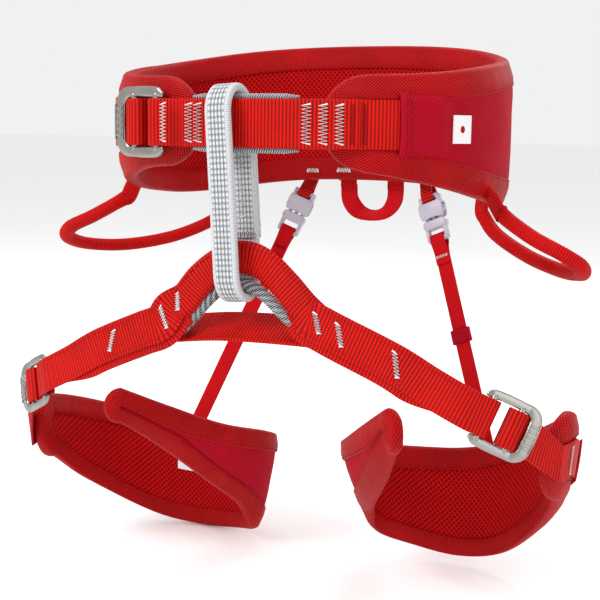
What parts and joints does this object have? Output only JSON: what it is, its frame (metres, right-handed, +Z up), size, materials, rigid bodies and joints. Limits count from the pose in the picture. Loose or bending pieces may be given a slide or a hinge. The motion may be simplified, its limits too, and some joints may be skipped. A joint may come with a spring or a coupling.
{
  "type": "tree climbing saddle",
  "caption": "Red padded sit harness with waist belt, belay loop, two adjustable leg loops, risers, gear loops and metal quick-adjust buckles.",
  "frame": {"origin": "centre of the waist opening, at the middle of the front webbing's height plus 1.7 mm", "axes": "+X towards the wearer's left, -Y towards the front, +Z up along the waist opening"},
  "size_m": [0.3364, 0.2087, 0.3162],
  "materials": {
    "crimson_fabric": "matte woven",
    "air_mesh": "matte mesh",
    "foam": "closed-cell foam, hidden",
    "edge_binding": "twill tape",
    "red_webbing": "ribbed webbing",
    "grey_webbing": "speckled webbing",
    "grey_braid": "ribbed sleeve",
    "white_thread": "stitching",
    "white_label": "blank woven label",
    "lilac_plastic": "light lavender grey",
    "buckle_metal": "satin",
    "cord_sleeve": "braided sleeve",
    "elastic_webbing": "elastic tape"
  },
  "bodies": {
    "waist_belt": {"waist_foam_core": "foam", "waist_outer_fabric": "crimson_fabric", "waist_mesh_lining": "air_mesh", "waist_edge_binding": "edge_binding", "waist_webbing": "red_webbing", "tie_in_webbing": "red_webbing", "tie_in_protector": "grey_braid", "webbing_tunnel_patch": "crimson_fabric", "belt_label": "white_label", "waist_webbing_tail": "crimson_fabric", "waist_tail_keeper": "crimson_fabric", "waist_bar_tacks": "white_thread", "rear_anchor_tabs": "red_webbing"},
    "waist_buckle": {"waist_buckle_frame": "buckle_metal", "waist_buckle_bars": "buckle_metal", "waist_buckle_fold": "red_webbing"},
    "belay_loop": {"belay_loop_webbing": "grey_webbing", "belay_loop_overlap": "grey_webbing", "belay_loop_tacks": "white_thread"},
    "leg_unit": {"leg_tie_in_arch": "red_webbing", "tie_in_sleeve": "grey_braid", "bridge_strap": "red_webbing", "leg_webbing_left": "red_webbing", "leg_webbing_right": "red_webbing", "lower_strands": "red_webbing", "leg_foam_left": "foam", "leg_foam_right": "foam", "leg_outer_fabric_left": "crimson_fabric", "leg_outer_fabric_right": "crimson_fabric", "leg_mesh_lining_left": "air_mesh", "leg_mesh_lining_right": "air_mesh", "leg_edge_binding_left": "edge_binding", "leg_edge_binding_right": "edge_binding", "leg_tail_left": "red_webbing", "leg_tail_right": "red_webbing", "leg_keepers": "crimson_fabric", "care_label": "white_label", "leg_bar_tacks": "white_thread"},
    "leg_buckle_left": {"leg_buckle_frame_left": "buckle_metal", "leg_buckle_bars_left": "buckle_metal", "leg_buckle_fold_left": "red_webbing"},
    "riser_upper_left": {"riser_tab_left": "red_webbing", "clip_female_left": "lilac_plastic"},
    "riser_lower_left": {"clip_male_left": "lilac_plastic", "riser_strap_left": "elastic_webbing", "riser_keeper_left": "crimson_fabric"},
    "latch_left_a": {"latch_arm_left_a": "lilac_plastic"},
    "latch_left_b": {"latch_arm_left_b": "lilac_plastic"},
    "gear_loop_left": {"gear_loop_left": "cord_sleeve"},
    "leg_buckle_right": {"leg_buckle_frame_right": "buckle_metal", "leg_buckle_bars_right": "buckle_metal", "leg_buckle_fold_right": "red_webbing"},
    "riser_upper_right": {"riser_tab_right": "red_webbing", "clip_female_right": "lilac_plastic"},
    "riser_lower_right": {"clip_male_right": "lilac_plastic", "riser_strap_right": "elastic_webbing"},
    "latch_right_a": {"latch_arm_right_a": "lilac_plastic"},
    "latch_right_b": {"latch_arm_right_b": "lilac_plastic"},
    "gear_loop_right": {"gear_loop_right": "cord_sleeve"},
    "haul_loop": {"haul_loop": "red_webbing"}
  },
  "joints": [
    {"name": "waist_buckle_tilt", "type": "hinge", "parent": "waist_belt", "child": "waist_buckle", "pos_m": [-0.05186, -0.09194, -0.0017], "axis": [0, 0, 1], "range_deg": [0, 18]},
    {"name": "belay_loop_swing", "type": "hinge", "parent": "waist_belt", "child": "belay_loop", "pos_m": [-0.0052, -0.0925, 0], "axis": [1, 0, 0], "range_deg": [-12, 8]},
    {"name": "leg_unit_level", "type": "hinge", "parent": "belay_loop", "child": "leg_unit", "pos_m": [0, -0.0925, -0.0797], "axis": [1, 0, 0], "range_deg": [-9, 13]},
    {"name": "leg_buckle_tilt_left", "type": "hinge", "parent": "leg_unit", "child": "leg_buckle_left", "pos_m": [0.13123, -0.08639, -0.14342], "axis": [-0.3144, -0.3124, -0.8964], "range_deg": [0, 18]},
    {"name": "riser_swing_left", "type": "hinge", "parent": "waist_belt", "child": "riser_upper_left", "pos_m": [0.039, 0.0962, -0.0345], "axis": [1, 0, 0], "range_deg": [-7, 5]},
    {"name": "riser_clip_release_left", "type": "slide", "parent": "riser_upper_left", "child": "riser_lower_left", "axis": [0.3343, -0.2711, -0.9026], "range_m": [0, 0.016]},
    {"name": "latch_press_left_a", "type": "hinge", "parent": "riser_lower_left", "child": "latch_left_a", "pos_m": [0.05299, 0.08754, -0.05973], "axis": [-0.2225, -0.9534, 0.2039], "range_deg": [0, 8], "stiffness_Nm_per_rad": 0.05},
    {"name": "latch_press_left_b", "type": "hinge", "parent": "riser_lower_left", "child": "latch_left_b", "pos_m": [0.04493, 0.08871, -0.06307], "axis": [0.2225, 0.9534, -0.2039], "range_deg": [0, 8], "stiffness_Nm_per_rad": 0.05},
    {"name": "gear_loop_lift_left", "type": "hinge", "parent": "waist_belt", "child": "gear_loop_left", "pos_m": [0.1165, -0.016, -0.047], "axis": [0.3591, -0.9302, 0.0765], "range_deg": [0, 40]},
    {"name": "leg_buckle_tilt_right", "type": "hinge", "parent": "leg_unit", "child": "leg_buckle_right", "pos_m": [-0.13123, -0.08639, -0.15042], "axis": [-0.3144, 0.3124, 0.8964], "range_deg": [0, 18]},
    {"name": "riser_swing_right", "type": "hinge", "parent": "waist_belt", "child": "riser_upper_right", "pos_m": [-0.039, 0.0962, -0.0345], "axis": [1, 0, 0], "range_deg": [-7, 5]},
    {"name": "riser_clip_release_right", "type": "slide", "parent": "riser_upper_right", "child": "riser_lower_right", "axis": [-0.3343, -0.2711, -0.9026], "range_m": [0, 0.016]},
    {"name": "latch_press_right_a", "type": "hinge", "parent": "riser_lower_right", "child": "latch_right_a", "pos_m": [-0.05299, 0.08754, -0.05973], "axis": [-0.2225, 0.9534, -0.2039], "range_deg": [0, 8], "stiffness_Nm_per_rad": 0.05},
    {"name": "latch_press_right_b", "type": "hinge", "parent": "riser_lower_right", "child": "latch_right_b", "pos_m": [-0.04493, 0.08871, -0.06307], "axis": [0.2225, -0.9534, 0.2039], "range_deg": [0, 8], "stiffness_Nm_per_rad": 0.05},
    {"name": "gear_loop_lift_right", "type": "hinge", "parent": "waist_belt", "child": "gear_loop_right", "pos_m": [-0.1165, -0.016, -0.047], "axis": [0.3591, 0.9302, -0.0765], "range_deg": [0, 40]},
    {"name": "haul_loop_swing", "type": "hinge", "parent": "waist_belt", "child": "haul_loop", "pos_m": [0.003, 0.0955, -0.041], "axis": [1, 0, 0], "range_deg": [-6, 60]}
  ],
  "couplings": [
    {"joint": "leg_unit_level", "follows": "belay_loop_swing", "ratio": -1},
    {"joint": "riser_swing_left", "follows": "belay_loop_swing", "ratio": 0.44},
    {"joint": "latch_press_left_b", "follows": "latch_press_left_a", "ratio": 1},
    {"joint": "riser_swing_right", "follows": "belay_loop_swing", "ratio": 0.44},
    {"joint": "latch_press_right_b", "follows": "latch_press_right_a", "ratio": 1}
  ]
}
